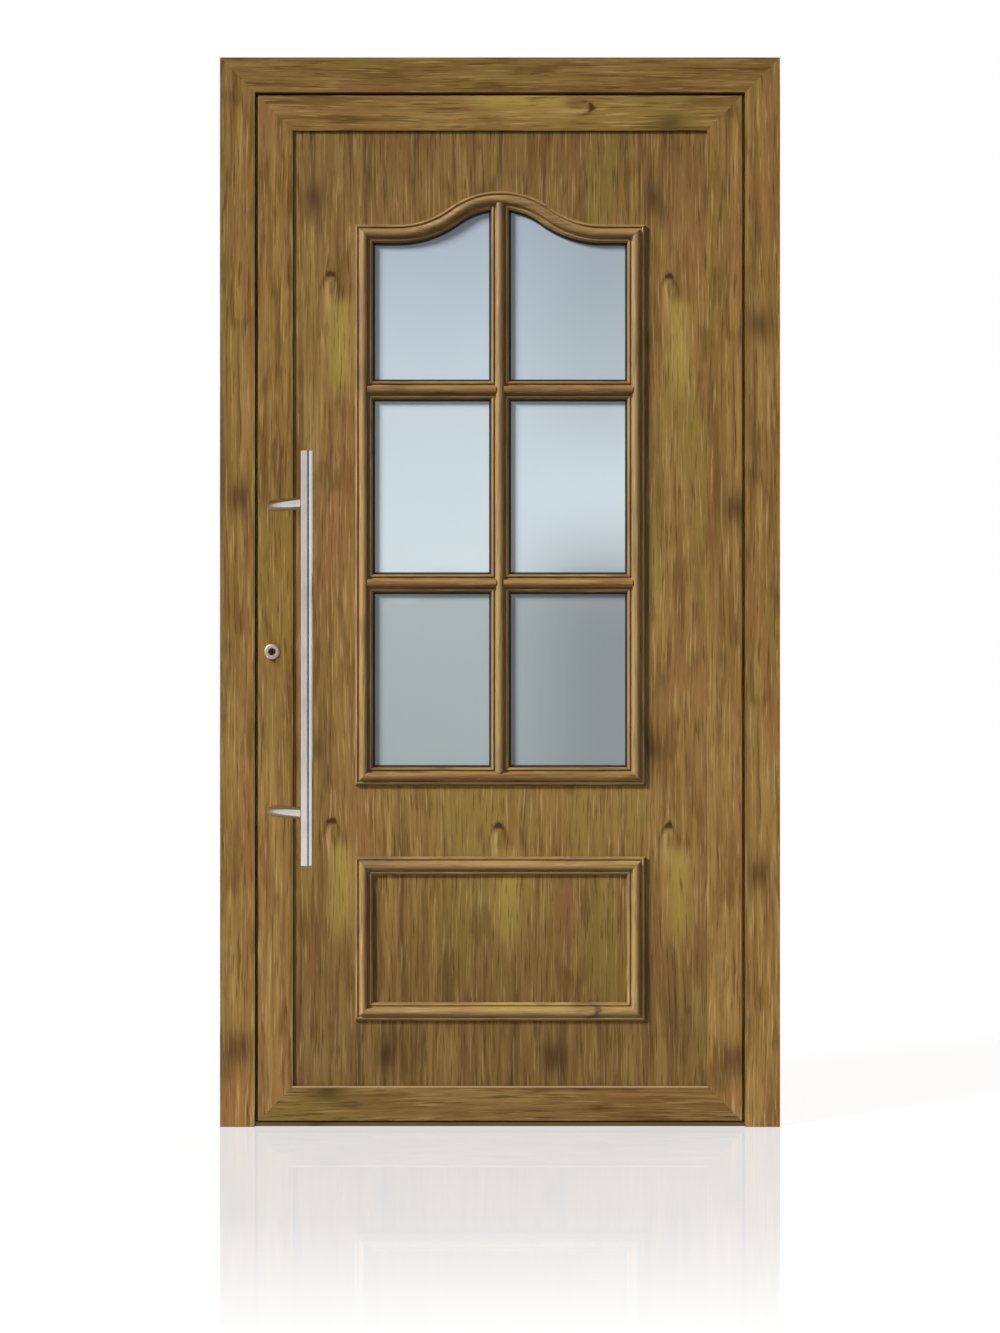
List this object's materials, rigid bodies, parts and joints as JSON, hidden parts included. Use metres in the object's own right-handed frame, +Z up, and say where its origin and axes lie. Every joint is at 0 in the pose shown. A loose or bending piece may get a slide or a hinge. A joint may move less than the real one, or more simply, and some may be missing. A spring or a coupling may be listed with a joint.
{
  "type": "panelled front door with frame",
  "caption": "Panelled front door in its frame: wood-decor leaf with an arched glazed window, raised lower panel trim, long pull bar and multipoint lock; swings inwards.",
  "frame": {"origin": "on the floor, in the middle of the doorway and of the frame's depth", "axes": "+X to the right seen from outside, +Y into the house, +Z up"},
  "size_m": [1.1, 0.214, 2.1],
  "materials": {
    "decor_profile": "wood-decor coating",
    "decor_panel": "wood-decor skin",
    "decor_trim": "wood-decor skin",
    "glazing": "satin frosted",
    "bronze_threshold": "bronze anodised",
    "seal_rubber": "matte",
    "cleat_alloy": "mill",
    "handle_steel": "satin brushed",
    "hardware_steel": "zinc plated",
    "plug_brass": "machined"
  },
  "bodies": {
    "frame": {"frame_jamb_lock": "decor_profile", "frame_jamb_hinge": "decor_profile", "frame_head": "decor_profile", "frame_corner_cleats": "cleat_alloy", "threshold": "bronze_threshold", "frame_gasket": "seal_rubber", "strike_plate_main": "hardware_steel", "strike_plates_aux": "hardware_steel", "strike_screws": "hardware_steel", "hinge_frame_wings": "hardware_steel", "hinge_pins": "hardware_steel", "hinge_frame_screws": "hardware_steel"},
    "leaf": {"leaf_stile_lock": "decor_profile", "leaf_stile_hinge": "decor_profile", "leaf_rail_top": "decor_profile", "leaf_rail_bottom": "decor_profile", "leaf_corner_cleats": "cleat_alloy", "infill_panel": "decor_panel", "panel_setting_blocks": "seal_rubber", "panel_gasket_outside": "seal_rubber", "panel_gasket_inside": "seal_rubber", "glazing_bead_lock": "decor_profile", "glazing_bead_hinge": "decor_profile", "glazing_bead_top": "decor_profile", "glazing_bead_bottom": "decor_profile", "bottom_seal": "seal_rubber", "glass_outer_pane": "glazing", "glass_inner_pane": "glazing", "glass_spacer": "cleat_alloy", "glass_tapes": "seal_rubber", "window_trim_lock": "decor_trim", "window_trim_hinge": "decor_trim", "window_trim_bottom": "decor_trim", "window_trim_arch": "decor_trim", "muntin_vertical": "decor_trim", "muntins_horizontal": "decor_trim", "lower_trim": "decor_trim", "window_trim_inside": "decor_trim", "muntins_inside": "decor_trim", "lower_trim_inside": "decor_trim", "hinge_leaf_wings": "hardware_steel", "hinge_leaf_screws": "hardware_steel", "pull_bar": "handle_steel", "pull_bar_caps": "handle_steel", "pull_supports": "handle_steel", "pull_fixing_bolts": "handle_steel", "lock_case": "hardware_steel", "lock_faceplate": "hardware_steel", "aux_lock_cases": "hardware_steel", "cylinder_body": "hardware_steel", "cylinder_rosette_outside": "handle_steel", "cylinder_rosette_inside": "handle_steel", "lever_rosette": "handle_steel"},
    "lever": {"lever_handle": "handle_steel", "lever_spindle": "handle_steel"},
    "dead_bolts": {"lock_bolts": "hardware_steel"},
    "rods": {"drive_rods": "hardware_steel"},
    "latch": {"latch_bolt": "hardware_steel"},
    "plug": {"cylinder_plug": "plug_brass"}
  },
  "joints": [
    {"name": "leaf_swing", "type": "hinge", "parent": "frame", "child": "leaf", "pos_m": [0.4975, 0.0495, 0], "axis": [0, 0, -1], "range_deg": [0, 100]},
    {"name": "lever_lift", "type": "hinge", "parent": "leaf", "child": "lever", "pos_m": [-0.447, 0.0375, 1.025], "axis": [0, -1, 0], "range_deg": [0, 45]},
    {"name": "bolt_slide", "type": "slide", "parent": "leaf", "child": "dead_bolts", "axis": [-1, 0, 0], "range_m": [0, 0.02]},
    {"name": "rod_slide", "type": "slide", "parent": "leaf", "child": "rods", "axis": [0, 0, 1], "range_m": [0, 0.02]},
    {"name": "latch_slide", "type": "slide", "parent": "leaf", "child": "latch", "axis": [-1, 0, 0], "range_m": [0, 0.012]},
    {"name": "plug_turn", "type": "hinge", "parent": "leaf", "child": "plug", "pos_m": [-0.447, 0, 0.933], "axis": [0, 1, 0], "continuous": true}
  ],
  "couplings": [
    {"joint": "bolt_slide", "follows": "lever_lift", "m_per_rad": 0.02546},
    {"joint": "rod_slide", "follows": "lever_lift", "m_per_rad": 0.02546}
  ]
}
